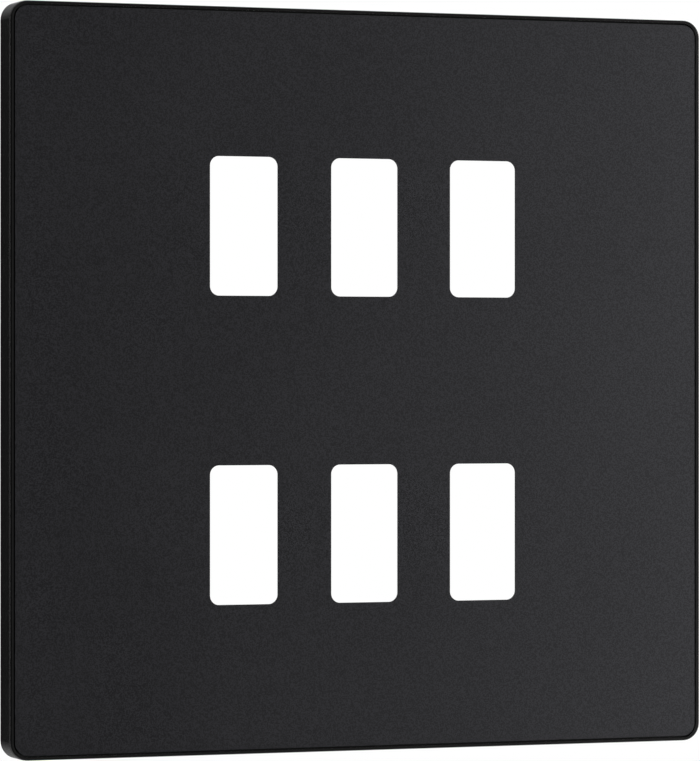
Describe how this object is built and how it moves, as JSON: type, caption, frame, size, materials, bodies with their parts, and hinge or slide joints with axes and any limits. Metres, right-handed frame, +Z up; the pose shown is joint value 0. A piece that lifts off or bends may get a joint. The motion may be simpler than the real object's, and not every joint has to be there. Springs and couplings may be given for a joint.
{
  "type": "grid switch plate",
  "caption": "Square flush wall plate with rows of rounded windows for grid switch modules, a fine-grain panel set in a thin surround that clips on to a screwed inner frame.",
  "frame": {"origin": "centre of the plate on the wall plane, in the middle of the four fixing screws", "axes": "+X to the right seen from the front, +Y into the wall, +Z up; the front faces -Y"},
  "size_m": [0.146, 0.03, 0.146],
  "materials": {
    "panel": "matt black, fine moulded grain",
    "surround": "satin black, smooth",
    "frame": "charcoal grey, moulded matt",
    "screws": "zinc plated"
  },
  "bodies": {
    "root": {"front_panel": "panel", "surround": "surround", "mounting_frame": "frame", "fixing_screws": "screws"}
  },
  "joints": []
}
